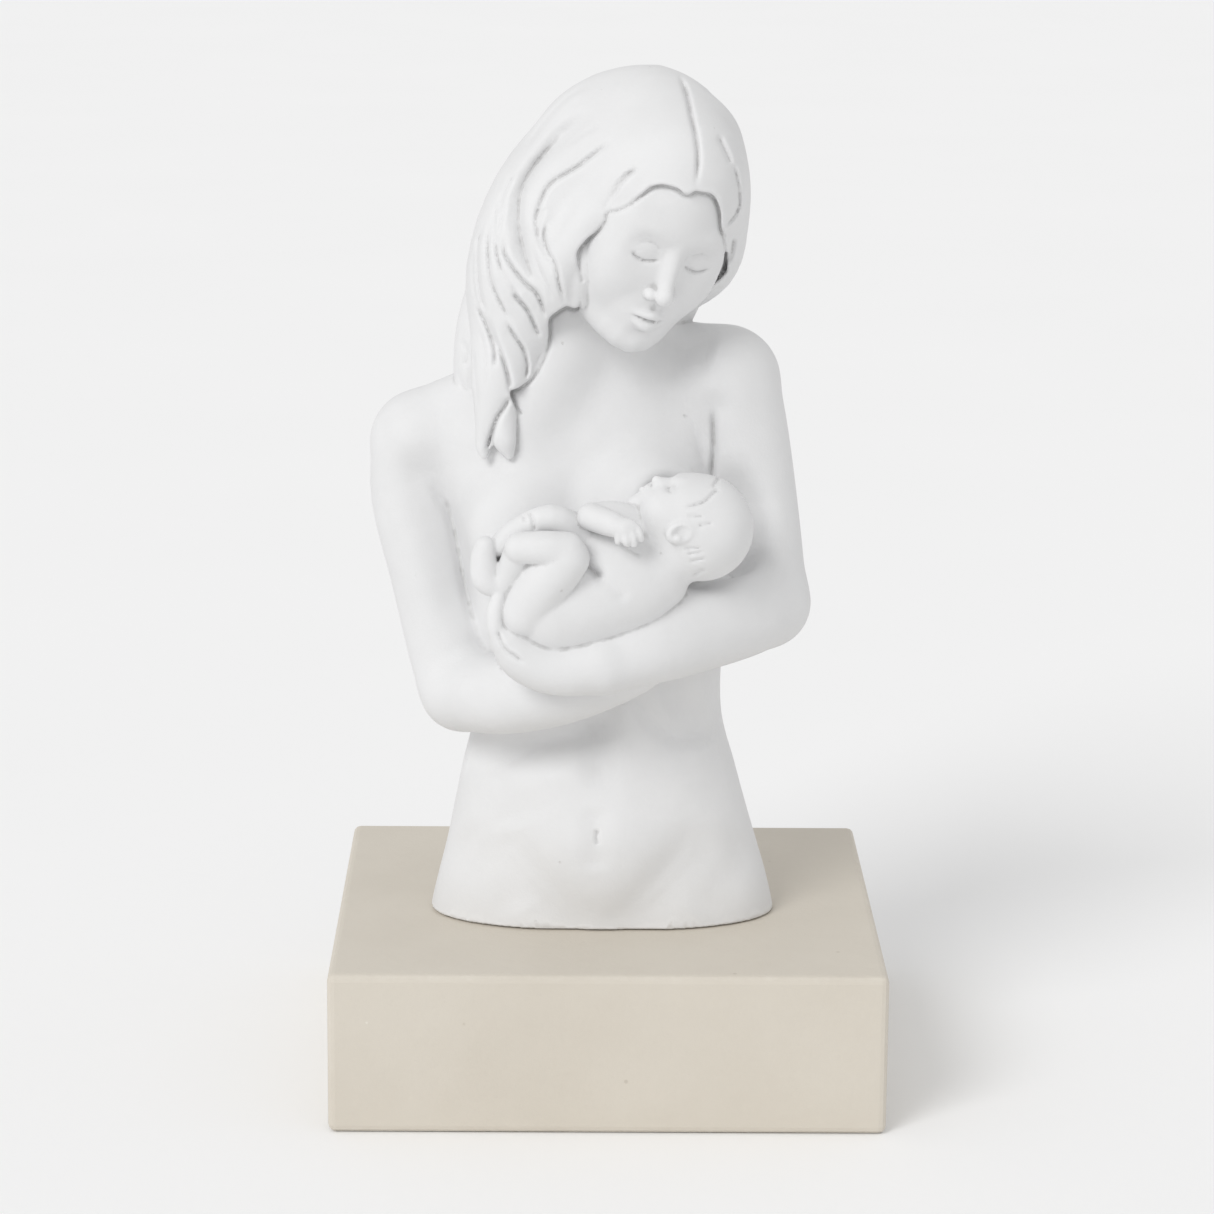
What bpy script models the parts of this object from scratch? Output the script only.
# Mother and child: a cast half-figure of a woman cradling a baby, on a square-edged block plinth.
# The figure is one cast piece. It is worked out as a solid field, a function that is negative
# inside the form and positive outside it, and its skin is the mesh where that field is zero.
# World axes: X to the viewer's right, Y away from the viewer, Z up. The origin is the middle
# of the plinth's underside.

import concurrent.futures
import functools
import math

import bmesh
import bpy
import numpy as np
from mathutils import Vector

# Sizes in metres
PLINTH_WIDTH = 0.120
PLINTH_DEPTH = 0.113
PLINTH_HEIGHT = 0.0355
PLINTH_EDGE_RADIUS = 0.0016
FIGURE_HEIGHT = 0.190
SEAT_GAP = 0.0003

# Fineness of the figure's mesh. No stroke is narrower than the mesh can hold.
SKIN_STEP = 0.5
FIGURE_TRIANGLES = 8600
NARROWEST_STROKE = 0.45

# The figure's forms below are in hundredths of the figure's height, from the middle of its
# cut underside: X to the viewer's right, Y away from the viewer, Z up.
FAR = 6.0
BOX_LOW = (-30.0, -31.0, -1.5)
BOX_HIGH = (26.0, 16.0, 102.0)

# The point from which the strokes that a viewer sees from the front are drawn
VIEWPOINT = (-5.4, -448.0, 142.2)

HEAD_CENTRE = (4.0, -6.5, 82.6)
HEAD_YAW = 20.0
HEAD_PITCH = 23.0
HEAD_ROLL = 16.0
CHILD_HEAD_CENTRE = (8.6, -17.6, 49.2)


# The sculptor's tools

class Cloud:
    """Points that are worked on together, with the ball that holds them, so that forms too far
    away to matter are skipped."""

    def __init__(self, points):
        self.points = points
        low, high = points.min(0), points.max(0)
        self.middle = (low + high) / 2
        self.reach = float(np.linalg.norm(high - low)) / 2

    def clear_of(self, centre, radius):
        return float(np.linalg.norm(self.middle - centre)) - self.reach - radius > FAR

    def blank(self):
        return np.full(len(self.points), FAR, self.points.dtype)

    def turned(self, centre, axes):
        return Cloud((self.points - np.array(centre, np.float32)) @ np.array(axes, np.float32).T)


def length(v):
    return np.sqrt(np.einsum("ij,ij->i", v, v))


def join(a, b, soft):
    """Union of two forms, with a fillet of about this width."""
    overlap = np.maximum(soft - np.abs(a - b), 0.0) / soft
    return np.minimum(a, b) - overlap * overlap * soft * 0.25


def carve(a, b, soft):
    """Form a with form b taken away, with an edge rounded over about this width."""
    return -join(-a, b, soft)


def egg(c, centre, radii, turn=None):
    """Ellipsoid. turn holds its own axes as rows."""
    centre = np.array(centre, np.float32)
    if c.clear_of(centre, max(radii)):
        return c.blank()
    q = c.points - centre
    if turn is not None:
        q = q @ np.array(turn, np.float32).T
    radii = np.array(radii, np.float32)
    near = length(q / radii) + 1e-4
    slope = length(q / (radii * radii)) + 1e-4 / float(radii.min())
    return near * (near - 1.0) / slope


def ball(c, centre, radius):
    return egg(c, centre, (radius, radius, radius))


def smooth_path(stations, between=4):
    """Points along a smooth curve through the stations, whatever numbers each one holds."""
    s = np.array(stations, float)
    if len(s) < 3:
        between = 1
    ends = np.vstack([2 * s[0] - s[1], s, 2 * s[-1] - s[-2]])
    rows = []
    for i in range(len(s) - 1):
        a, b, c, d = ends[i : i + 4]
        for t in np.arange(between) / between:
            rows.append(
                0.5
                * (
                    2 * b
                    + (c - a) * t
                    + (2 * a - 5 * b + 4 * c - d) * t * t
                    + (3 * b - a - 3 * c + d) * t**3
                )
            )
    rows.append(s[-1])
    return np.array(rows)


@functools.lru_cache(maxsize=None)
def links(stations, between, plain):
    """The straight links of a smooth path: their starts and ends, and each one's middle and the
    radius of the ball that holds it."""
    path = smooth_path(stations, between).astype(np.float32)
    a, b = path[:-1], path[1:]
    middle = (a[:, :plain] + b[:, :plain]) / 2
    radius = np.sqrt(((b[:, :plain] - a[:, :plain]) ** 2).sum(1)) / 2
    if path.shape[1] > plain:
        radius = radius + np.maximum(a[:, plain], b[:, plain])
    return a, b, middle, radius


def near_links(c, stations, between, plain, margin):
    a, b, middle, radius = links(tuple(tuple(row) for row in stations), between, plain)
    gap = np.sqrt(((middle - c.middle) ** 2).sum(1)) - radius - c.reach
    return a, b, np.nonzero(gap <= margin)[0]


def limb(c, stations, between=4):
    """A round form of changing thickness. Each station is x, y, z, radius."""
    starts, ends, close = near_links(c, stations, between, 3, FAR)
    best = c.blank()
    for i in close:
        a, b = starts[i], ends[i]
        run = b[:3] - a[:3]
        reach = max(float(np.sqrt(run @ run)), 1e-6)
        taper = min(max((a[3] - b[3]) / reach, -0.95), 0.95)
        off = c.points - a[:3]
        along = off @ (run / reach)
        aside = np.sqrt(np.maximum(np.einsum("ij,ij->i", off, off) - along * along, 0.0))
        touch = np.clip(along - (taper / math.sqrt(1.0 - taper * taper)) * aside, 0.0, reach)
        away = np.sqrt(aside * aside + (along - touch) ** 2)
        best = np.minimum(best, away - (a[3] + (b[3] - a[3]) / reach * touch))
    return best


def seen(c):
    """Where the viewer sees each point on the upright plane through the figure's axis: x and z."""
    eye = np.array(VIEWPOINT, np.float32)
    ray = c.points - eye
    flat = eye + ray * (-eye[1] / ray[:, 1:2])
    return Cloud(flat[:, [0, 2]])


def stroke(flat, wide, deep, stations, lap=0.0, between=4):
    """How deep a drawn stroke cuts at each point. It fades at its ends. With a lap, the skin on
    the stroke's left, going along it, stands proud of the skin on its right by this much."""
    reach = wide * (9.0 if lap else 2.6)
    starts, ends, close = near_links(flat, stations, between, 2, reach)
    if not len(close):
        return 0.0
    best = np.full(len(flat.points), 1e3, np.float32)
    side = np.zeros(len(flat.points), np.float32)
    fade = np.zeros(len(flat.points), np.float32)
    for i in close:
        a, b = starts[i], ends[i]
        run = b - a
        off = flat.points - a
        share = np.clip(off @ run / max(float(run @ run), 1e-9), 0.0, 1.0)
        away = length(off - share[:, None] * run)
        along = (i + share) / len(starts)
        nearer = away < best
        best = np.where(nearer, away, best)
        fade = np.where(nearer, np.minimum(along, 1.0 - along), fade)
        if lap:
            across = (run[0] * off[:, 1] - run[1] * off[:, 0]) / max(float(np.sqrt(run @ run)), 1e-6)
            side = np.where(nearer, np.tanh(across / (0.7 * wide)), side)
    fade = np.clip(fade * 5.0, 0.0, 1.0)
    fade = fade * fade * (3.0 - 2.0 * fade)
    cut = deep * fade * np.exp(-((best / wide) ** 2))
    if lap:
        cut = cut - lap * fade * (0.1 + 0.5 * side) * np.exp(-((best / (4.5 * wide)) ** 2))
    return cut


def drawn(c, form, strokes, strength=1.0, skip=1.5):
    """The form with strokes cut into it where the viewer sees them, near its surface only."""
    close = np.abs(form) < skip
    if not close.any():
        return form
    flat = seen(Cloud(c.points[close]))
    cuts = np.zeros(len(flat.points), np.float32)
    for wide, deep, over, stations in strokes:
        cuts = cuts + stroke(flat, max(wide, NARROWEST_STROKE), deep, stations, over)
    form = form.copy()
    form[close] += cuts * (strength if np.isscalar(strength) else strength[close])
    return form


def outline_distance(flat, stations, between=4):
    """Signed distance from a closed drawn outline, negative inside it."""
    starts, ends, _, _ = links(tuple(stations) + (stations[0],), between, 2)
    best = np.full(len(flat.points), 1e3, np.float32)
    inside = np.zeros(len(flat.points), bool)
    x, z = flat.points[:, 0], flat.points[:, 1]
    for a, b in zip(starts, ends):
        run = b - a
        off = flat.points - a
        share = np.clip(off @ run / max(float(run @ run), 1e-9), 0.0, 1.0)
        best = np.minimum(best, length(off - share[:, None] * run))
        if a[1] != b[1]:
            crosses = (a[1] > z) != (b[1] > z)
            inside ^= crosses & (x < a[0] + (z - a[1]) * (b[0] - a[0]) / (b[1] - a[1]))
    return np.where(inside, -best, best)


def fitted_axes(up, other):
    """Three axes as rows, the last along up and the first as near to other as it can be."""
    up = np.array(up, float) / np.linalg.norm(up)
    first = np.array(other, float) - up * np.dot(up, other)
    first /= np.linalg.norm(first)
    return np.array([first, np.cross(up, first), up])


def head_axes():
    """The mother's head's own axes as rows: to her left, backwards and up."""
    yaw, pitch, roll = (math.radians(a) for a in (HEAD_YAW, HEAD_PITCH, HEAD_ROLL))
    face = np.array(
        [math.sin(yaw) * math.cos(pitch), -math.cos(yaw) * math.cos(pitch), -math.sin(pitch)]
    )
    side = np.array([math.cos(yaw), math.sin(yaw), 0.0])
    up = np.cross(face, side)
    return np.array(
        [math.cos(roll) * side - math.sin(roll) * up, -face, math.cos(roll) * up + math.sin(roll) * side]
    )


# The woman's body
# Trunk sections from the cut underside to the neck's root: height, middle, half width,
# y of the widest line, depth in front of it and depth behind it
TRUNK = (
    (-3.0, -0.5, 20.4, -3.5, 10.2, 12.0),
    (0.0, -0.5, 20.2, -3.5, 10.2, 12.0),
    (4.0, -0.5, 19.3, -3.2, 10.6, 12.2),
    (8.0, -0.6, 18.2, -2.6, 10.9, 11.6),
    (12.0, -0.8, 17.2, -2.0, 11.2, 10.2),
    (17.0, -1.0, 16.0, -1.4, 10.8, 8.8),
    (23.0, -1.2, 14.6, -0.8, 10.2, 8.2),
    (30.0, -1.7, 15.0, -0.4, 10.8, 9.0),
    (38.0, -2.2, 16.2, 0.0, 11.8, 10.4),
    (46.0, -3.0, 16.8, 0.6, 12.0, 11.0),
    (54.0, -3.8, 16.6, 1.4, 11.4, 9.8),
    (60.0, -3.4, 14.0, 2.0, 9.6, 8.0),
    (65.0, -2.0, 9.5, 2.4, 8.0, 6.6),
    (69.0, -0.6, 6.2, 2.4, 6.6, 5.4),
)
TRUNK_SQUARENESS = 2.25

LEFT_SHOULDER = (-21.8, 0.6, 55.0, 5.8)
RIGHT_SHOULDER = (13.2, 0.4, 62.3, 6.3)
RIGHT_ELBOW = (18.0, -5.2, 37.3, 5.0)
LEFT_ELBOW = (-16.9, -6.0, 27.0, 4.7)


TRUNK_ROWS = smooth_path(TRUNK, 6)


def trunk(c):
    rows = TRUNK_ROWS
    z = c.points[:, 2]
    middle, wide, line, front, back = (
        np.interp(z, rows[:, 0], rows[:, i]).astype(np.float32) for i in range(1, 6)
    )
    x = (c.points[:, 0] - middle) / wide
    y = c.points[:, 1] - line
    deep = np.where(y < 0, front, back)
    y = y / deep
    n = TRUNK_SQUARENESS
    powers = np.abs(x) ** n + np.abs(y) ** n + 1e-9
    near = powers ** (1.0 / n)
    rate = near ** (1.0 - n)
    slope = rate * np.sqrt(
        (np.abs(x) ** (n - 1.0) / wide) ** 2 + (np.abs(y) ** (n - 1.0) / deep) ** 2
    )
    side = (near - 1.0) / np.maximum(slope, 1e-3)
    return np.maximum(side, z - float(rows[-1, 0]))


# Creases and hollows of the trunk, as the viewer sees them: half width, depth, lap, and x and z
TRUNK_STROKES = (
    (2.1, 1, 0, ((0.9, 33.2), (-0.3, 24.7), (-0.9, 19.4), (-1.2, 11.8))),
    (1.4, 0.7, 0.35, ((0.7, 29.6), (3.6, 24.3), (6, 21.2), (9.6, 17.8))),
    (2.4, 1.2, 0, ((4.9, 32), (8.1, 24.6), (12.2, 18))),
    (2.8, 2.3, 0, ((-22.1, 18.8), (-12.7, 18.6), (-6.5, 19.4), (2.6, 23.6))),
    (1.5, 0.3, 0, ((-1.2, 11.3), (-1.3, 7.1), (-1.1, 2.6))),
    (0.26, 0.3, 0, ((-1, 8.3), (-1.2, 7.2), (-1.1, 6.1))),
    (2.6, 0.35, 0, ((18, 8.2), (14.2, 2.6), (10.1, -2.4))),
    (2.6, 0.35, 0, ((-18.4, 8.6), (-14.3, 2.8), (-10.3, -2.9))),
    (3, 0.5, 0, ((-10.3, 8), (-12.3, 13.6), (-13.2, 19.7))),
)


def torso(c):
    body = trunk(c)
    for breast in ((-9.6, -8.3, 46.5), (3.6, -8.6, 48.0)):
        body = join(body, egg(c, breast, (7.4, 6.8, 7.4)), 3.0)
    left = limb(c, [(-3.0, 2.5, 63.4, 5.0), (-11.0, 1.6, 60.2, 5.1), LEFT_SHOULDER])
    right = limb(c, [(2.0, 3.0, 63.6, 4.6), (7.6, 2.2, 64.0, 4.9), RIGHT_SHOULDER])
    body = join(body, join(left, right, 3.0), 4.0)
    body = join(body, egg(c, (-1.2, -6.2, 8.6), (9.5, 7.9, 8.5)), 3.0)
    for side in (-1, 1):
        hip = limb(c, [(side * 10.5 - 0.8, -11.2, 8.8, 0.6), (side * 3.4 - 0.8, -14.2, 1.2, 0.6)])
        body = body + 0.55 * np.exp(-((hip / 2.6) ** 2))
        blade = egg(c, (side * 9.0 - 3.0, 8.0, 51.0 + side * 1.5), (4.6, 3.6, 6.4))
        body = join(body, blade, 3.0)
    spine = limb(
        c, [(-1.0, 10.5, 8.0, 0.3), (-1.6, 7.8, 22.0, 0.3), (-2.6, 11.2, 44.0, 0.3), (-2.4, 10.2, 56.0, 0.3)]
    )
    body = body + 0.8 * np.exp(-((spine / 2.2) ** 2))
    body = drawn(c, body, TRUNK_STROKES, np.clip((-4.0 - c.points[:, 1]) / 4.0, 0.0, 1.0), 3.5)
    neck = limb(c, [(-1.6, 2.6, 60.0, 6.4), (-0.5, 0.3, 69.0, 6.1), (2.2, -1.4, 77.0, 5.9)])
    cord = limb(c, [(-5.4, -0.2, 62.0, 5.4), (-5.2, -1.8, 67.0, 5.2), (-4.0, -2.4, 72.0, 4.9), (-2.4, -2.0, 77.0, 4.8)])
    body = join(body, join(neck, cord, 2.0), 4.0)
    slope = limb(c, [(-4.6, -3.6, 70.0, 4.2), (-6.6, -4.6, 65.6, 4.2), (-8.6, -5.0, 61.2, 4.3), (-10.4, -4.8, 57.0, 4.4)])
    return join(body, slope, 3.5)


def arms(c):
    left = limb(
        c,
        [
            LEFT_SHOULDER,
            (-21.9, 0.0, 48.6, 5.8),
            (-20.4, -1.8, 40.0, 5.1),
            (-18.1, -4.4, 30.2, 4.9),
            LEFT_ELBOW,
        ],
    )
    left_fore = limb(
        c,
        [
            LEFT_ELBOW,
            (-12.5, -11.0, 27.6, 4.6),
            (-5.5, -14.4, 29.2, 4.1),
            (2.5, -15.2, 32.0, 3.3),
            (8.0, -14.0, 35.6, 2.6),
        ],
    )
    right = limb(c, [RIGHT_SHOULDER, (14.9, -0.5, 55.5, 5.9), (16.8, -2.4, 46.0, 5.3), RIGHT_ELBOW])
    right_fore = limb(
        c,
        [
            RIGHT_ELBOW,
            (15.2, -9.5, 37.0, 5.1),
            (10.3, -13.6, 36.3, 5.0),
            (5.0, -17.4, 35.2, 4.4),
            (-1.0, -20.0, 33.8, 3.7),
        ],
    )
    cradle = limb(c, [(16.4, -7.0, 41.0, 4.0), (11.5, -11.6, 40.0, 4.3), (7.0, -15.0, 38.6, 3.7), (2.0, -16.8, 36.8, 3.4)])
    right_fore = join(right_fore, cradle, 3.0)
    return join(join(left, left_fore, 1.5), join(right, right_fore, 1.5), 0.4)


def hand(c):
    if c.clear_of((-7.0, -21.5, 36.5), 10.0):
        return c.blank()
    palm = limb(
        c,
        [(-1.0, -20.0, 33.8, 3.7), (-6.0, -20.9, 33.4, 3.2), (-9.6, -21.3, 34.6, 2.8), (-11.2, -21.6, 36.4, 2.1)],
    )
    first = limb(
        c, [(-10.6, -21.9, 35.2, 1.5), (-12.6, -22.5, 37.7, 1.0), (-12.9, -22.6, 40.0, 0.9), (-12.5, -22.4, 41.8, 0.75)]
    )
    second = limb(c, [(-8.8, -22.0, 34.8, 1.4), (-10.8, -22.3, 36.4, 1.15), (-11.3, -21.9, 38.6, 0.9)])
    return join(palm, join(first, second, 0.2), 0.9)


# Lines between the mother's fingers, in the same terms
HAND_STROKES = (
    (0.2, 0.32, 0.15, ((-12.9, 32.8), (-12.7, 31.7), (-12.1, 30.3), (-10.9, 29.3), (-9.5, 28.4))),
    (0.16, 0.15, 0, ((-11.5, 29.8), (-10.8, 29.5), (-10.3, 29))),
)

# Creases where the arms meet the body, as the viewer sees them: half width, depth, lap, and x and z
ARM_STROKES = (
    (3, 1.1, 0, ((-23, 55.2), (-21.6, 50.4), (-20, 46.3), (-18.9, 42.1), (-18, 37.3), (-16.5, 31.3))),
    (0.8, 0.45, 0, ((-21, 50.9), (-20.1, 49.1), (-18.9, 47), (-17.9, 44.5), (-17.3, 41.9), (-16.8, 38.5), (-16.1, 35.5), (-15.1, 31.3))),
    (1.5, 0.5, 0, ((12, 61.8), (12.1, 54.8), (12, 47.1))),
    (0.4, 0.8, 0, ((11.9, 59.5), (12.1, 55.4), (12.1, 53.6), (11.8, 49.4))),
    (2.4, 0.7, 0, ((4, 67.6), (8.6, 66.4), (12.4, 65.4))),
)


# The child

def child_head(c):
    axes = fitted_axes((0.95, 0.06, 0.28), (0.06, -0.985, -0.10))
    q = c.turned(CHILD_HEAD_CENTRE, axes)
    if q.clear_of((0.0, 0.0, 0.0), 8.0):
        return c.blank()
    skull = egg(q, (0.0, 0.9, 1.3), (5.2, 6.1, 5.9))
    face = egg(q, (0.0, -1.6, -1.3), (4.3, 3.9, 4.0))
    form = join(skull, face, 2.5)
    front = Cloud(q.points[:, [0, 2]])
    ahead = q.points[:, 1] < -2.0
    for side in (-1, 1):
        form = join(form, ball(q, (side * 2.1, -2.9, -2.7), 2.0), 1.2)
        form = carve(form, egg(q, (side * 1.9, -6.4, -0.6), (1.5, 1.4, 0.8)), 0.8)
        form = join(form, egg(q, (side * 1.9, -4.3, -0.7), (1.0, 0.8, 0.7)), 0.3)
        lashes = stroke(
            front, 0.14, 0.16, [(side * 1.0, -0.8), (side * 1.9, -1.15), (side * 2.8, -0.8)]
        )
        form = form + np.where(ahead, lashes, 0.0)
    nose = limb(q, [(0.0, -4.8, -0.8, 0.45), (0.0, -5.9, -2.0, 0.55)])
    form = join(form, nose, 0.7)
    for side in (-1, 1):
        form = join(form, ball(q, (side * 0.55, -5.4, -2.2), 0.36), 0.25)
    lips = join(
        limb(q, [(-0.8, -5.0, -3.35, 0.15), (0.0, -5.5, -3.2, 0.3), (0.8, -5.0, -3.35, 0.15)]),
        limb(q, [(-0.6, -5.0, -3.75, 0.15), (0.0, -5.4, -3.85, 0.32), (0.6, -5.0, -3.75, 0.15)]),
        0.08,
    )
    form = join(form, egg(q, (0.0, -4.4, -3.6), (1.5, 0.95, 1.0)), 0.8)
    form = join(form, lips, 0.2)
    form = join(form, ball(q, (0.0, -3.9, -5.1), 1.0), 0.9)
    ear = egg(q, (4.85, -0.9, -1.2), (0.7, 1.35, 1.7))
    ear = carve(ear, egg(q, (5.6, -0.95, -1.1), (0.6, 0.95, 1.3)), 0.12)
    ear = join(ear, egg(q, (5.1, -0.45, -1.75), (0.4, 0.4, 0.6)), 0.15)
    return join(form, ear, 0.25)


# Creases of the child's belly beside the near leg, in the same terms
BELLY_STROKES = (
    (0.5, 0.8, 0, ((-3.9, 42.8), (-2.9, 40.8), (-2, 39.9), (-0.5, 38.6))),
    (0.8, 0.3, 0, ((-2.6, 40.6), (-0.7, 38.7), (0.8, 37.6), (2.3, 35.8))),
)
# Fine strokes on the child, as the viewer sees them: half width, depth, lap, and x and z
CHILD_STROKES = (
    (0.2, 0.26, 0, ((13, 49.6), (12.2, 49.1), (11.2, 48.1), (10, 47.6), (8.5, 47.3))),
    (0.2, 0.26, 0, ((12.9, 51.3), (12.5, 50.5), (12, 49.6))),
    (0.18, 0.2, 0, ((9, 46.3), (11.1, 46.2))),
    (0.18, 0.2, 0, ((10.2, 45.1), (12.2, 45.5))),
    (0.18, 0.2, 0, ((8.7, 42.4), (10.9, 42.5))),
    (0.18, 0.2, 0, ((9.1, 41.7), (11.2, 42.1))),
    (0.18, 0.2, 0, ((9.3, 40.8), (11.4, 41.3))),
    (0.18, 0.2, 0, ((9.7, 39.2), (11.4, 40))),
    (0.2, 0.22, 0, ((1, 43.1), (2.3, 42.3), (3.9, 41.4))),
    (0.2, 0.25, 0, ((-9.9, 46.4), (-9.8, 45.4))),
    (0.25, 0.35, 0, ((-9.4, 46.8), (-8.9, 45.7), (-8.6, 44.2))),
    (0.2, 0.22, 0, ((-11.1, 30.3), (-10.5, 29.5), (-9.5, 28.7))),
)


def child(c):
    if c.clear_of((0.5, -17.5, 45.0), 19.5):
        return c.blank()
    chest = limb(c, [(4.6, -17.6, 43.0, 4.2), (1.8, -17.8, 42.0, 5.3), (-2.6, -18.0, 41.0, 6.2), (-6.3, -18.4, 40.2, 6.2)])
    chest = join(chest, egg(c, (0.3, -18.2, 45.2), (6.2, 4.5, 4.7)), 2.0)
    neck = limb(c, [(9.5, -18.0, 48.6, 3.8), (6.3, -18.2, 45.6, 3.5)])
    lap = limb(
        c, [(8.0, -11.5, 45.5, 4.0), (2.0, -13.0, 43.6, 5.6), (-6.0, -14.0, 41.6, 6.0), (-10.0, -16.2, 43.6, 4.0), (-12.2, -18.0, 45.2, 2.4)]
    )
    crook = limb(c, [(10.5, -9.5, 38.0, 4.6), (2.0, -11.5, 37.0, 6.0), (-8.0, -13.0, 35.6, 5.8)])
    front = (c.points[:, 1] < -17.0).astype(np.float32)
    body = drawn(c, join(join(chest, neck, 1.2), child_head(c), 0.9), BELLY_STROKES, front, 2.5)
    thigh = limb(c, [(-9.5, -21.6, 39.9, 2.9), (-7.5, -22.7, 43.3, 3.05), (-4.9, -23.7, 46.5, 2.5)])
    shin = limb(c, [(-5.0, -23.8, 47.3, 2.2), (-7.7, -24.2, 47.8, 1.9), (-10.1, -23.8, 47.7, 1.75)])
    web = limb(c, [(-12.4, -19.6, 47.6, 1.0), (-12.9, -19.6, 44.6, 1.4)])
    ankle = limb(c, [(-10.2, -23.0, 47.2, 1.7), (-11.0, -22.2, 45.1, 1.6), (-11.9, -21.6, 43.1, 1.4)])
    near_leg = join(thigh, shin, 0.25)
    foot = limb(c, [(-12.6, -21.4, 42.9, 1.5), (-13.9, -21.6, 43.7, 1.6), (-14.2, -21.6, 45.9, 1.45), (-14.0, -21.5, 47.3, 1.2)])
    far_leg = limb(
        c, [(-3.7, -19.0, 48.0, 2.4), (-6.8, -20.6, 50.2, 1.7), (-10.5, -20.6, 48.8, 1.5), (-12.4, -20.8, 47.2, 1.2)]
    )
    upper = limb(c, [(3.1, -19.0, 49.3, 1.9), (0.6, -20.0, 50.6, 1.6), (-2.2, -21.2, 50.8, 1.5)])
    fore = limb(c, [(-2.3, -21.8, 50.8, 1.5), (-0.2, -23.2, 50.4, 1.45), (1.2, -24.0, 50.0, 1.1)])
    palm = egg(c, (1.7, -24.1, 50.0), (1.35, 0.8, 1.1))
    fingers = c.blank()
    for root, tip in (
        ((0.8, -24.3, 49.7), (0.75, -24.4, 48.6)),
        ((1.5, -24.6, 49.7), (1.6, -24.6, 48.3)),
        ((2.2, -24.5, 49.8), (2.45, -24.5, 48.4)),
        ((2.8, -24.2, 50.0), (3.2, -24.2, 48.9)),
    ):
        knuckle = tuple((a + b) / 2 + (0.0, -0.15, 0.0)[i] for i, (a, b) in enumerate(zip(root, tip)))
        fingers = join(fingers, limb(c, [(*root, 0.46), (*knuckle, 0.5), (*tip, 0.42)]), 0.05)
    arm = join(join(fore, palm, 0.5), fingers, 0.2)
    body = join(body, join(arm, upper, 0.3), 0.25)
    body = join(body, far_leg, 0.3)
    body = join(body, near_leg, 0.3)
    body = join(body, join(join(foot, ankle, 0.4), web, 0.4), 0.25)
    body = drawn(c, body, CHILD_STROKES, front)
    return join(body, join(lap, crook, 2.0), 0.6)


# The woman's head and hair

def head(c):
    q = c.turned(HEAD_CENTRE, head_axes())
    if q.clear_of((0.0, 0.0, 0.0), 16.0):
        return c.blank()
    skull = egg(q, (0.0, 1.2, 3.2), (8.5, 10.8, 10.0))
    face = egg(q, (0.0, -2.4, -3.0), (7.1, 7.4, 9.6))
    form = join(skull, face, 3.0)
    for side in (-1, 1):
        form = join(form, egg(q, (side * 5.3, -3.6, -0.6), (2.7, 4.9, 7.0)), 2.4)
    jaw = limb(
        q,
        [(-6.0, 0.5, -6.0, 1.7), (-4.4, -4.2, -9.6, 1.9), (0.0, -7.9, -11.3, 2.1), (4.4, -4.2, -9.6, 1.9), (6.0, 0.5, -6.0, 1.7)],
    )
    form = join(form, jaw, 3.0)
    front = Cloud(q.points[:, [0, 2]])
    ahead = q.points[:, 1] < -5.0
    for side in (-1, 1):
        form = join(form, egg(q, (side * 3.7, -5.2, -4.4), (3.5, 3.5, 4.2)), 2.6)
        form = carve(form, egg(q, (side * 3.2, -11.7, 0.0), (2.7, 2.5, 1.5)), 2.2)
        form = join(form, egg(q, (side * 3.2, -7.6, -0.35), (2.0, 1.5, 1.3)), 0.9)
        brow = limb(
            q, [(side * 1.5, -8.7, 1.9, 0.4), (side * 3.6, -8.4, 2.6, 0.4), (side * 6.0, -6.6, 1.9, 0.3)]
        )
        form = join(form, brow, 1.6)
    form = join(
        form, limb(q, [(0.0, -8.6, 1.8, 0.7), (0.0, -10.0, -2.2, 0.75), (0.0, -10.9, -4.2, 0.9)]), 1.0
    )
    form = join(form, ball(q, (0.0, -11.0, -4.6), 0.9), 0.5)
    form = join(form, egg(q, (0.0, -7.9, -7.8), (3.3, 2.1, 2.9)), 1.4)
    form = carve(form, egg(q, (0.0, -11.0, -10.1), (2.0, 1.1, 0.7)), 1.0)
    for side in (-1, 1):
        form = join(form, egg(q, (side * 1.2, -9.9, -4.9), (0.75, 0.95, 0.7)), 0.3)
        form = carve(form, egg(q, (side * 0.62, -10.7, -5.6), (0.3, 0.5, 0.28)), 0.15)
        lashes = [(side * 1.5, -0.9), (side * 2.4, -1.35), (side * 3.4, -1.55), (side * 4.4, -1.3), (side * 5.2, -0.7)]
        fold = [(side * 1.7, 0.1), (side * 3.3, 0.75), (side * 5.0, 0.2)]
        cuts = stroke(front, 0.16, 0.3, lashes, -side * 0.12) + stroke(front, 0.15, 0.08, fold)
        form = form + np.where(ahead, cuts, 0.0)
    upper_lip = limb(
        q, [(-2.5, -9.1, -7.95, 0.25), (-0.6, -10.15, -7.4, 0.5), (0.6, -10.15, -7.4, 0.5), (2.5, -9.1, -7.95, 0.25)]
    )
    lower_lip = limb(q, [(-2.1, -9.25, -8.3, 0.25), (0.0, -9.95, -8.85, 0.72), (2.1, -9.25, -8.3, 0.25)])
    form = join(form, join(upper_lip, lower_lip, 0.12), 0.4)
    mouth = stroke(front, 0.14, 0.2, [(-2.5, -7.95), (-1.2, -8.0), (0.0, -8.1), (1.2, -8.0), (2.5, -7.95)])
    philtrum = stroke(front, 0.3, 0.16, [(0.0, -5.9), (0.0, -6.9)])
    return form + np.where(ahead, mouth + philtrum, 0.0)


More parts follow.
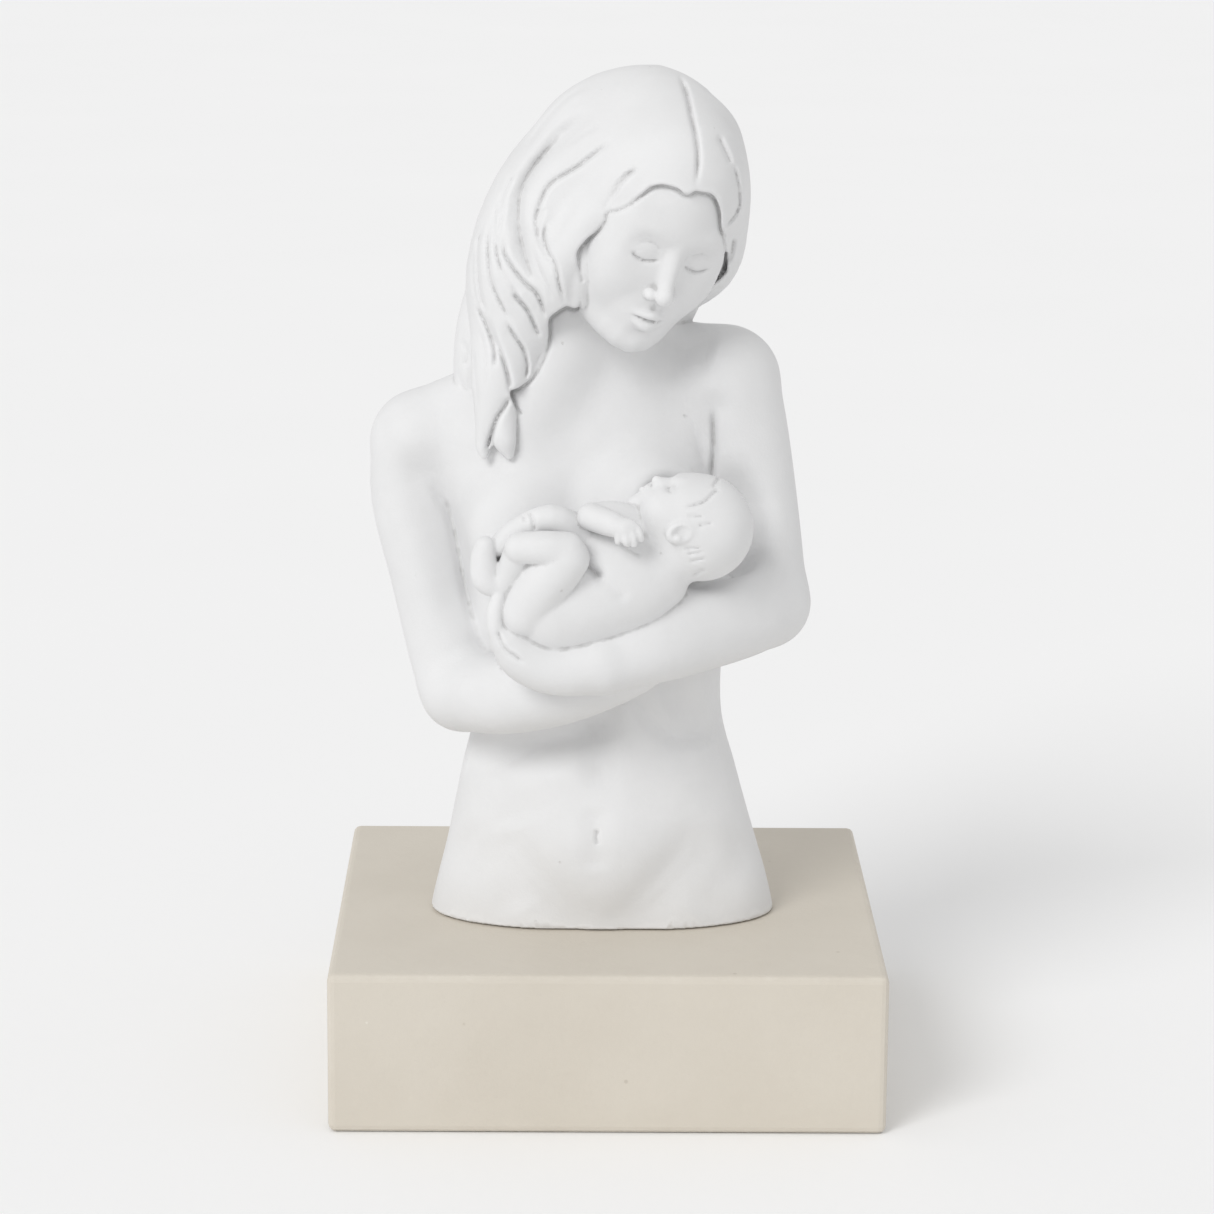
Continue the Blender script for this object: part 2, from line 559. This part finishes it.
# Strokes of the hair as the viewer sees them: half width, depth, lap, and x and z of its stations
HAIR_STROKES = (
    (0.28, 0.5, 0, ((7.4, 98), (8.4, 95.4), (9, 92.8), (9.6, 90.2), (9.8, 87.6), (9.6, 84.5))),
    (1, 0.8, 0, ((-1.7, 93.2), (-3.6, 92.2), (-5.9, 90.4), (-7.8, 88.2), (-9.4, 86.2), (-10.5, 83.9), (-10.8, 81.3), (-10.4, 79), (-9.9, 76.7), (-8.6, 73.1))),
    (0.4, 0.45, 0.3, ((-5.2, 90.9), (-7.5, 88.6), (-9.1, 86.5), (-10.2, 84.2), (-10.5, 81.3), (-10.3, 79), (-9.5, 75.7), (-8.7, 73.1))),
    (0.28, 0.45, 0.35, ((0.5, 90.4), (-1.6, 88.8), (-3.9, 87), (-6.2, 85.6), (-7.3, 84.6), (-8.1, 82.9), (-8.5, 81.3), (-8.7, 79))),
    (0.24, 0.25, 0.15, ((-7.6, 82.4), (-8.2, 80.6), (-8.5, 78.5))),
    (0.24, 0.4, 0.25, ((-7.2, 81), (-7.7, 79.3), (-7.3, 77.4), (-6.4, 75.7), (-5.9, 73.4), (-5.1, 70.7))),
    (0.28, 0.7, 0.35, ((3.2, 87), (1.6, 85.9), (0.4, 84.3), (-0.3, 82.7), (-0.6, 81.8))),
    (0.26, 0.5, 0.3, ((-12.3, 79), (-12.2, 77), (-11, 75), (-9.7, 73.5), (-8.6, 72.5), (-7.9, 71.1), (-7.3, 69.1))),
    (0.26, 0.6, 0.3, ((-11.5, 72.7), (-10.5, 71.5), (-9.5, 70.3), (-8.8, 68.8), (-8, 67.1))),
    (0.24, 0.45, 0.3, ((-12.2, 69.3), (-11, 67.4), (-10, 65.8), (-9.6, 63.8), (-9.9, 61.9))),
    (0.26, 0.5, 0.25, ((-15.6, 71.2), (-14.6, 69.4), (-13.8, 67.3), (-13.3, 65.4), (-13.5, 63.3))),
    (0.28, 0.65, 0.3, ((-14.1, 70.1), (-13.3, 67.1), (-12.7, 65.6), (-12.1, 63.8), (-11.7, 62.1), (-11.6, 60.4))),
    (0.24, 0.3, 0.2, ((-14.6, 80.6), (-15.3, 78), (-15.3, 75.3), (-14.9, 72), (-14.1, 69.4))),
    (0.22, 0.22, 0.12, ((-13.8, 81.3), (-14.2, 78.6), (-14, 76), (-13.6, 73.7), (-12.6, 71.1), (-11.3, 69))),
    (0.22, 0.2, 0.1, ((-13, 83.2), (-13.4, 80.6), (-13.2, 77.3), (-12.3, 74.4))),
    (0.3, 0.16, 0.1, ((-2.7, 96.6), (-5.6, 94.5), (-8.1, 91.7), (-10.1, 88.8))),
    (0.3, 0.16, 0.1, ((-1.3, 91.8), (-3.3, 90.8), (-5.2, 89.3))),
    (0.26, 0.2, 0.1, ((-11, 86.5), (-12.3, 83.9), (-13, 81.3))),
    (0.3, 0.3, 0.15, ((-17.3, 67.1), (-16.5, 65.4), (-16.8, 63.7))),
    (0.3, 0.3, 0.15, ((-17.8, 63.7), (-17.2, 61.9), (-16.2, 60.4))),
    (0.26, 0.6, 0.3, ((-11.5, 60.4), (-12.2, 59.1), (-13.1, 57.7), (-13.8, 55.7), (-14.4, 53.6))),
    (0.22, 0.25, 0.2, ((13.6, 87.8), (14.2, 86.4), (14.6, 84.1), (14.5, 82.4), (13.8, 81.1), (12.8, 80))),
    (0.3, 0.3, 0.15, ((12, 90.9), (13, 88.9), (13.7, 87.3))),
    (0.3, 0.3, 0.2, ((14.1, 79.2), (13.9, 77.5), (13.4, 75.9))),
    (0.2, 0.14, 0.06, ((-13.3, 82.7), (-13.8, 79.8), (-14.1, 76.4), (-13.8, 73.6), (-12.5, 70.9), (-11.4, 68.6))),
    (0.2, 0.14, 0.06, ((-11.8, 84.1), (-12.6, 80.9), (-13.1, 77.7), (-12.6, 75), (-11.1, 72.5))),
    (0.2, 0.14, 0.06, ((-15.7, 78), (-15.9, 74.8), (-15.6, 72.2), (-14.9, 70))),
    (0.2, 0.16, 0.08, ((-8.2, 82.5), (-8.7, 81), (-8.3, 78.7), (-7.3, 76.4), (-6.2, 74.6))),
    (0.2, 0.14, 0.06, ((-9.1, 78), (-8.4, 75.7), (-7.3, 73.2), (-6.6, 71.4))),
    (0.22, 0.2, 0.1, ((-11.8, 73.6), (-10.5, 71.8), (-9.1, 70))),
    (0.2, 0.14, 0.06, ((-15.2, 68.6), (-14.5, 65.8), (-14.3, 63.5), (-14.5, 60.7))),
    (0.2, 0.12, 0.05, ((-15.8, 65.8), (-15.6, 62.6), (-15.2, 58.4))),
)
FACE_OPENING = (
    (9.6, 84.3), (8.5, 83.9), (7.5, 84.6), (5.9, 85), (4.6, 84.8), (3.3, 83.8), (2, 82.8),
    (0.7, 82.2), (-0.5, 81.9), (-0.9, 80.7), (-1.6, 79.7), (-2.9, 78.6), (-3.8, 77.4), (-3.9, 76.4),
    (-3.7, 75.1), (-3.4, 72.8), (-3.6, 71.3), (-4.2, 70.7), (-5.1, 70.9), (-6.4, 70.1), (-7.1, 69.3),
    (-7.1, 67.5), (-7.5, 65.5), (-8.4, 63.5), (-9.3, 62.3), (-10.6, 61.3), (-11.5, 60.4), (-8, 56),
    (2, 58), (6, 64), (8.7, 71), (10.3, 72.4), (11.6, 73.5), (12.9, 74.6), (13.3, 76),
    (13, 78.8), (12.6, 80), (12.5, 80.8), (12.4, 82.1), (11.9, 83.4), (11.3, 84), (10.3, 84.2),
)
HAIR_FRONT = -4.0
UNDERCUT = 0.32


def hair(c):
    if c.clear_of((-1.0, -2.0, 77.0), 27.0):
        return c.blank()
    q = c.turned(HEAD_CENTRE, head_axes())
    cap = join(
        egg(c, (3.7, -1.3, 86.2), (11.2, 11.7, 12.6)), egg(q, (0.0, 1.2, 3.4), (9.5, 11.6, 11.2)), 2.0
    )
    fall = limb(
        c,
        [
            (-0.8, -2.0, 87.9, 8.8),
            (-5.3, -3.0, 82.0, 9.0),
            (-8.7, -4.0, 75.4, 7.9),
            (-11.2, -5.6, 68.6, 4.8),
            (-12.3, -7.0, 63.8, 3.6),
            (-13.3, -8.5, 60.0, 2.2),
            (-14.1, -9.3, 57.8, 1.3),
            (-14.5, -9.8, 56.4, 0.85),
            (-14.4, -10.1, 55.4, 0.45),
        ],
    )
    tip = limb(
        c, [(-12.3, -8.8, 61.2, 1.5), (-12.1, -9.8, 58.7, 1.35), (-12.0, -10.3, 57.1, 1.25), (-11.5, -10.5, 55.5, 0.5)]
    )
    behind = limb(
        c, [(-11.8, 0.0, 74.0, 4.2), (-13.6, 0.4, 68.6, 4.2), (-15.2, -0.6, 63.6, 2.9), (-15.6, -1.6, 60.6, 1.8), (-14.8, -3.4, 57.6, 0.9)]
    )
    back = egg(c, (-1.6, 4.6, 76.0), (12.2, 7.8, 17.0))
    curtain = limb(
        c,
        [
            (9.2, -4.6, 90.0, 5.2),
            (10.7, -6.2, 85.0, 4.7),
            (11.4, -5.8, 80.5, 3.9),
            (10.9, -3.0, 76.2, 3.3),
            (7.8, 0.4, 73.1, 2.9),
            (3.6, 3.0, 72.6, 3.4),
        ],
    )
    form = join(cap, fall, 3.0)
    form = join(form, join(curtain, back, 3.0), 1.5)
    form = join(form, tip, 0.15)
    lock = limb(
        c,
        [
            (0.4, -11.6, 86.0, 2.4),
            (-2.8, -12.4, 82.0, 2.5),
            (-5.3, -12.0, 78.0, 2.5),
            (-6.1, -11.2, 75.0, 2.3),
            (-5.6, -10.5, 72.4, 1.7),
            (-4.9, -9.8, 70.9, 0.8),
        ],
    )
    form = join(form, lock, 1.6)
    form = join(form, behind, 0.8)
    front = np.clip((2.0 - c.points[:, 1]) / 3.0, 0.0, 1.0)
    form = drawn(c, form, HAIR_STROKES, 1.2 * np.clip((-1.0 - c.points[:, 1]) / 3.0, 0.0, 1.0))
    turn = np.arctan2(q.points[:, 0], q.points[:, 1] + 2.0)
    flow = turn * 7.0 + 0.12 * q.points[:, 2]
    form = form + (1.0 - front) * 0.4 * (np.abs(np.cos(flow)) - 0.5)
    ahead = (c.points[:, 1] < HAIR_FRONT + 1.5) & (form < 2.0)
    if ahead.any():
        flat = seen(Cloud(c.points[ahead]))
        opening = np.maximum(outline_distance(flat, FACE_OPENING, 3), c.points[ahead, 1] - HAIR_FRONT)
        form[ahead] = carve(form[ahead], opening, 0.35)
    inside = limb(c, [(11.9, -4.8, 80.6, 1.6), (11.7, -4.0, 77.6, 1.9), (10.2, -1.8, 74.8, 2.0)])
    lining = limb(c, [(-2.6, -11.6, 80.6, 1.6), (-3.7, -12.1, 77.0, 1.8), (-3.9, -11.3, 73.8, 1.4)])
    return join(form, join(inside, lining, 0.4), 0.4)


def hair_edge(c, form):
    """The form with a thin undercut beside the hair where it leaves the face and the chest."""
    x, y, z = c.points.T
    near = (np.abs(form) < 1.2) & (y < HAIR_FRONT) & (z > 60.0) & ((z > 75.8) | (x < -3.5))
    if not near.any():
        return form
    flat = seen(Cloud(c.points[near]))
    away = outline_distance(flat, FACE_OPENING, 3)
    form = form.copy()
    form[near] += UNDERCUT * np.exp(-(((away + 0.15) / 0.2) ** 2))
    return form


def figure(c):
    """The whole figure's field."""
    body = join(torso(c), arms(c), 0.9)
    body = drawn(c, body, ARM_STROKES, np.clip((1.0 - c.points[:, 1]) / 3.0, 0.0, 1.0), 4.0)
    body = carve(body, egg(c, (10.4, -14.8, 48.8), (7.3, 5.6, 7.6)), 1.6)
    body = carve(body, egg(c, (13.6, -9.2, 47.2), (4.2, 4.8, 6.2)), 2.8)
    body = join(body, hand(c), 0.6)
    body = drawn(c, body, HAND_STROKES, (c.points[:, 1] < -18.0).astype(np.float32))
    body = join(body, child(c), 0.25)
    body = join(body, head(c), 0.8)
    body = hair_edge(c, join(body, hair(c), 0.2))
    return np.maximum(body, -c.points[:, 2])


# From field to mesh

def grouped(cells, span):
    """Index arrays of neighbouring cells, in boxes of span cells each way."""
    boxes = cells // span
    order = np.lexsort(boxes.T)
    breaks = np.nonzero(np.any(np.diff(boxes[order], axis=0), axis=1))[0] + 1
    return np.split(order, breaks)


def each(work, groups):
    """The results of the same work on every group, on all processors."""
    with concurrent.futures.ThreadPoolExecutor() as workers:
        return list(workers.map(work, groups))


def sample(field, low, counts, step, block=8):
    """The field on a grid. Blocks that the surface doesn't reach only get its sign."""
    blocks = -(-counts // block)
    index = np.stack(np.meshgrid(*[np.arange(n) for n in blocks], indexing="ij"), -1).reshape(-1, 3)
    mid = (low + (index * block + (block - 1) / 2) * step).astype(np.float32)
    rough = np.zeros(len(mid), np.float32)
    groups = grouped(index, 4)
    for group, result in zip(groups, each(lambda group: field(Cloud(mid[group])), groups)):
        rough[group] = result
    reach = step * block * math.sqrt(3) / 2
    active = np.nonzero(np.abs(rough) < reach * 1.5 + step)[0]
    values = np.repeat(np.where(rough < 0, -FAR, FAR).astype(np.float32)[:, None], block**3, axis=1)
    inner = np.stack(np.meshgrid(*[np.arange(block)] * 3, indexing="ij"), -1).reshape(-1, 3)
    offsets = ((inner - (block - 1) / 2) * step).astype(np.float32)
    groups = [active[group] for group in grouped(index[active], 3)]

    def inside_of(part):
        points = (mid[part][:, None, :] + offsets[None]).reshape(-1, 3)
        return field(Cloud(points)).reshape(len(part), -1)

    for part, result in zip(groups, each(inside_of, groups)):
        values[part] = result
    shape = (*blocks, block, block, block)
    values = values.reshape(shape).transpose(0, 3, 1, 4, 2, 5).reshape(blocks * block)
    return np.ascontiguousarray(values)


def heal(values, step):
    """Fills grid corners where two parts of the skin would touch along an edge or at a corner."""
    filler = -0.05 * step
    cells = [slice(0, -1), slice(1, None)]
    for _ in range(60):
        changed = False
        for a, b in ((0, 1), (0, 2), (1, 2)):
            places = {}
            for i in (0, 1):
                for j in (0, 1):
                    where = [slice(None)] * 3
                    where[a], where[b] = cells[i], cells[j]
                    places[i, j] = tuple(where)
            for first, target in (((0, 0), (1, 0)), ((1, 0), (0, 0))):
                inside = values < 0
                near, far = inside[places[first]], inside[places[1 - first[0], 1 - first[1]]]
                side, other = inside[places[1 - first[0], first[1]]], inside[places[first[0], 1 - first[1]]]
                bad = near & far & ~side & ~other
                if bad.any():
                    values[places[target]][bad] = filler
                    changed = True
        for flips in ((0, 0, 0), (1, 0, 0), (0, 1, 0), (0, 0, 1)):
            inside = values < 0
            grids = {}
            for i in (0, 1):
                for j in (0, 1):
                    for k in (0, 1):
                        where = tuple(cells[n ^ f] for n, f in zip((i, j, k), flips))
                        grids[i, j, k] = (where, inside[where])
            ends = [grids[0, 0, 0][1], grids[1, 1, 1][1]]
            rest = [g[1] for key, g in grids.items() if 0 < sum(key) < 3]
            apart = ends[0] & ends[1] & ~np.any(rest, axis=0)
            holes = ~ends[0] & ~ends[1] & np.all(rest, axis=0)
            for bad, key in ((apart, (1, 0, 0)), (apart, (1, 1, 0)), (holes, (0, 0, 0))):
                if bad.any():
                    values[grids[key][0]][bad] = filler
                    changed = True
        if not changed:
            break
    return values


def skin(field, low, high, step):
    """A closed quad mesh where the field is zero: one vertex for each grid cell it passes."""
    low = np.array(low, float)
    counts = np.ceil((np.array(high) - low) / step).astype(int) + 1
    values = heal(sample(field, low, counts, step), step)
    inside = values < 0
    corners = [(i, j, k) for i in (0, 1) for j in (0, 1) for k in (0, 1)]
    size = np.array(values.shape) - 1
    total = np.zeros(size, np.int8)
    for offset in corners:
        total += inside[tuple(slice(o, o + n) for o, n in zip(offset, size))]
    cells = np.argwhere((total > 0) & (total < 8))
    number = np.full(size, -1, np.int32)
    number[tuple(cells.T)] = np.arange(len(cells))
    place = np.zeros((len(cells), 3))
    crossings = np.zeros(len(cells))
    for first in corners:
        for axis in range(3):
            if first[axis]:
                continue
            second = tuple(1 if i == axis else first[i] for i in range(3))
            a = values[tuple((cells + first).T)]
            b = values[tuple((cells + second).T)]
            crossed = (a < 0) != (b < 0)
            share = np.where(crossed, a / np.where(crossed, a - b, 1.0), 0.0)
            point = np.array(first) + share[:, None] * (np.array(second) - first)
            place += np.where(crossed[:, None], point, 0.0)
            crossings += crossed
    points = low + (cells + place / crossings[:, None]) * step
    quads = []
    for axis in range(3):
        lower = [slice(None)] * 3
        upper = [slice(None)] * 3
        lower[axis], upper[axis] = slice(0, -1), slice(1, None)
        where = np.argwhere(inside[tuple(lower)] != inside[tuple(upper)])
        outward = inside[tuple(where.T)]
        step_b, step_c = np.eye(3, dtype=int)[(axis + 1) % 3], np.eye(3, dtype=int)[(axis + 2) % 3]
        ring = [where - step_b - step_c, where - step_c, where, where - step_b]
        quad = np.stack([number[tuple(cell.T)] for cell in ring], 1)
        quad[~outward] = quad[~outward][:, ::-1]
        quads.append(quad)
    return points, np.concatenate(quads)


def largest_piece(points, quads):
    """Only the biggest connected part, without stray crumbs or sealed hollows."""
    label = np.arange(len(points))
    sides = np.concatenate([quads[:, [i, (i + 1) % 4]] for i in range(4)])
    while True:
        least = np.minimum(label[sides[:, 0]], label[sides[:, 1]])
        new = label.copy()
        np.minimum.at(new, sides[:, 0], least)
        np.minimum.at(new, sides[:, 1], least)
        new = new[new]
        if (new == label).all():
            break
        label = new
    names, sizes = np.unique(label, return_counts=True)
    kept = label == names[sizes.argmax()]
    renumber = np.cumsum(kept) - 1
    return points[kept], renumber[quads[kept[quads[:, 0]]]]


def settle(points, field, step, rounds=1):
    """Moves each vertex onto the exact surface, along the field's slope."""
    p = points.astype(np.float32)
    tiny = np.float32(0.2 * step)
    groups = grouped(np.floor(p / 8.0).astype(int), 1)

    def moved(group):
        part = p[group]
        for _ in range(rounds):
            here = field(Cloud(part))
            shifted = np.concatenate([part] + [part + tiny * axis for axis in np.eye(3, dtype=np.float32)])
            ahead = field(Cloud(shifted)).reshape(4, -1)
            slope = (ahead[1:] - ahead[0]).T / tiny
            shift = here / np.maximum(np.einsum("ij,ij->i", slope, slope), 0.25)
            part = part - np.clip(shift, -0.5 * step, 0.5 * step)[:, None] * slope
        return part

    for group, part in zip(groups, each(moved, groups)):
        p[group] = part
    return p


def mesh_from(name, points, faces):
    mesh = bpy.data.meshes.new(name)
    mesh.vertices.add(len(points))
    mesh.vertices.foreach_set("co", points.astype(np.float32).ravel())
    mesh.loops.add(faces.size)
    mesh.loops.foreach_set("vertex_index", faces.astype(np.int32).ravel())
    mesh.polygons.add(len(faces))
    mesh.polygons.foreach_set("loop_start", np.arange(len(faces), dtype=np.int32) * faces.shape[1])
    mesh.update(calc_edges=True)
    mesh.shade_smooth()
    return mesh


def matte(name, colour, roughness):
    material = bpy.data.materials.new(name)
    material.use_nodes = True
    shader = material.node_tree.nodes["Principled BSDF"]
    shader.inputs["Base Color"].default_value = (*colour, 1.0)
    shader.inputs["Roughness"].default_value = roughness
    shader.inputs["Metallic"].default_value = 0.0
    return material


def make_plinth():
    mesh = bpy.data.meshes.new("plinth")
    block = bmesh.new()
    bmesh.ops.create_cube(block, size=1.0)
    bmesh.ops.scale(block, vec=(PLINTH_WIDTH, PLINTH_DEPTH, PLINTH_HEIGHT), verts=block.verts)
    block.to_mesh(mesh)
    block.free()
    plinth = bpy.data.objects.new("plinth", mesh)
    plinth.location.z = PLINTH_HEIGHT / 2
    bpy.context.scene.collection.objects.link(plinth)
    rounding = plinth.modifiers.new("rounded edges", "BEVEL")
    rounding.width = PLINTH_EDGE_RADIUS
    rounding.segments = 3
    plinth.data.materials.append(matte("beige paint", (0.69, 0.63, 0.54), 0.7))
    return plinth


def make_figure(step=SKIN_STEP):
    points, quads = skin(figure, BOX_LOW, BOX_HIGH, step)
    points, quads = largest_piece(points, quads)
    points = settle(points, figure, step)
    points[:, 2] = np.maximum(points[:, 2], 0.0)
    mesh = mesh_from("mother_and_child", points * (FIGURE_HEIGHT / 100), quads)
    cast = bpy.data.objects.new("mother_and_child", mesh)
    cast.location = Vector((0.0, 0.0, PLINTH_HEIGHT + SEAT_GAP))
    bpy.context.scene.collection.objects.link(cast)
    cast.data.materials.append(matte("white cast stone", (0.86, 0.86, 0.86), 0.6))
    return cast


def main():
    for old in list(bpy.data.objects):
        bpy.data.objects.remove(old)
    make_plinth()
    cast = make_figure()
    coarser = cast.modifiers.new("fewer facets", "DECIMATE")
    coarser.ratio = FIGURE_TRIANGLES / (2 * len(cast.data.polygons))


main()
